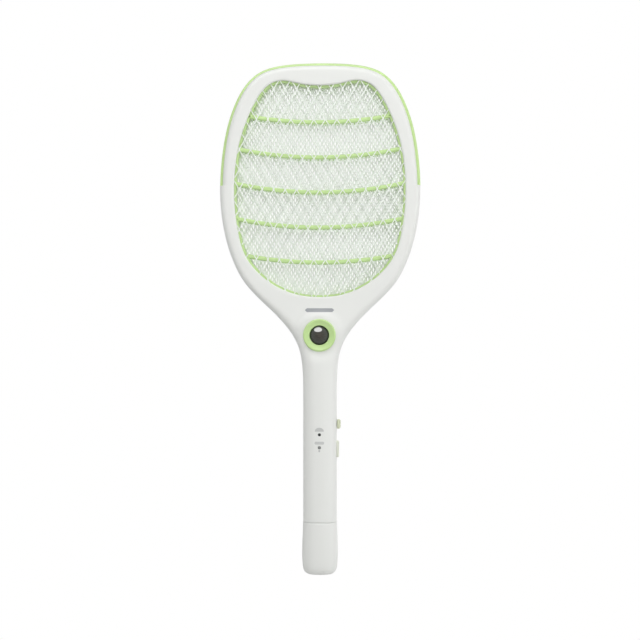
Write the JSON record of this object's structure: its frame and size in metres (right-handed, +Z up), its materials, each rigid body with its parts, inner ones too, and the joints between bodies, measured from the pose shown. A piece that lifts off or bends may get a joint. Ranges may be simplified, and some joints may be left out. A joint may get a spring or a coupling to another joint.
{
  "type": "electric fly swatter",
  "caption": "Racket-shaped rechargeable insect swatter with a white casing, lime ribbed grids between layered metal nets, a lamp, a slide switch, a push button and a pull-off end cap.",
  "frame": {"origin": "centre of the butt end of the handle, at the lowest point of the end cap", "axes": "+Z runs up the handle towards the head, the front with the lamp faces -Y, +X is the side with the slide switch and the push button"},
  "size_m": [0.2012, 0.0359, 0.512],
  "materials": {
    "white_plastic": "satin moulded ABS",
    "lime_plastic": "satin moulded ABS",
    "button_plastic": "satin moulded ABS",
    "guard_mesh": "pale expanded metal",
    "live_mesh": "bright expanded metal",
    "spacer_plastic": "matte insulator",
    "dark_lens": "polished dark lens",
    "reflector_metal": "vacuum plated cup",
    "circuit_board": "solder mask",
    "led_resin": "clear resin",
    "red_wire": "extruded PVC",
    "black_wire": "extruded PVC",
    "ferrite": "ferrite core with copper winding",
    "capacitor_film": "dipped epoxy",
    "capacitor_sleeve": "shrink sleeve",
    "component_black": "moulded epoxy",
    "resistor_body": "lacquer",
    "switch_body": "moulded nylon",
    "indicator_lens": "dark light pipe",
    "cell_sleeve": "shrink sleeve",
    "nickel": "nickel strip",
    "plug_plastic": "matte insulator",
    "brass": "bright",
    "screw_steel": "zinc plated"
  },
  "bodies": {
    "racket": {"front_shell": "white_plastic", "rear_shell": "white_plastic", "edge_trim": "lime_plastic", "front_grid_frame": "lime_plastic", "rear_grid_frame": "lime_plastic", "front_guard_net": "guard_mesh", "high_voltage_net": "live_mesh", "rear_guard_net": "guard_mesh", "front_net_spacer": "spacer_plastic", "rear_net_spacer": "spacer_plastic", "lamp_bezel": "lime_plastic", "lamp_lens": "dark_lens", "lamp_reflector": "reflector_metal", "lamp_board": "circuit_board", "lamp_led": "led_resin", "lamp_leads": "red_wire", "main_board": "circuit_board", "step_up_transformer": "ferrite", "high_voltage_capacitor": "capacitor_film", "smoothing_capacitor": "capacitor_sleeve", "rectifier_diodes": "component_black", "resistors": "resistor_body", "switching_transistor": "component_black", "slide_switch": "switch_body", "tactile_switch": "component_black", "upper_indicator": "indicator_lens", "lower_indicator": "indicator_lens", "battery_cell": "cell_sleeve", "battery_tabs": "nickel", "battery_leads": "red_wire", "charging_leads": "black_wire", "high_voltage_lead": "red_wire", "ground_leads": "black_wire", "plug_block": "plug_plastic", "charging_pins": "brass", "casing_screws": "screw_steel"},
    "slider": {"power_slider": "lime_plastic"},
    "button": {"zap_button": "button_plastic"},
    "cap": {"end_cap": "white_plastic"}
  },
  "joints": [
    {"name": "power_slide", "type": "slide", "parent": "racket", "child": "slider", "axis": [0, 0, 1], "range_m": [0, 0.006]},
    {"name": "zap_press", "type": "slide", "parent": "racket", "child": "button", "axis": [-1, 0, 0], "range_m": [0, 0.0015], "stiffness_N_per_m": 900, "springref_m": -0.001},
    {"name": "cap_pull", "type": "slide", "parent": "racket", "child": "cap", "axis": [0, 0, -1], "range_m": [0, 0.04]}
  ]
}
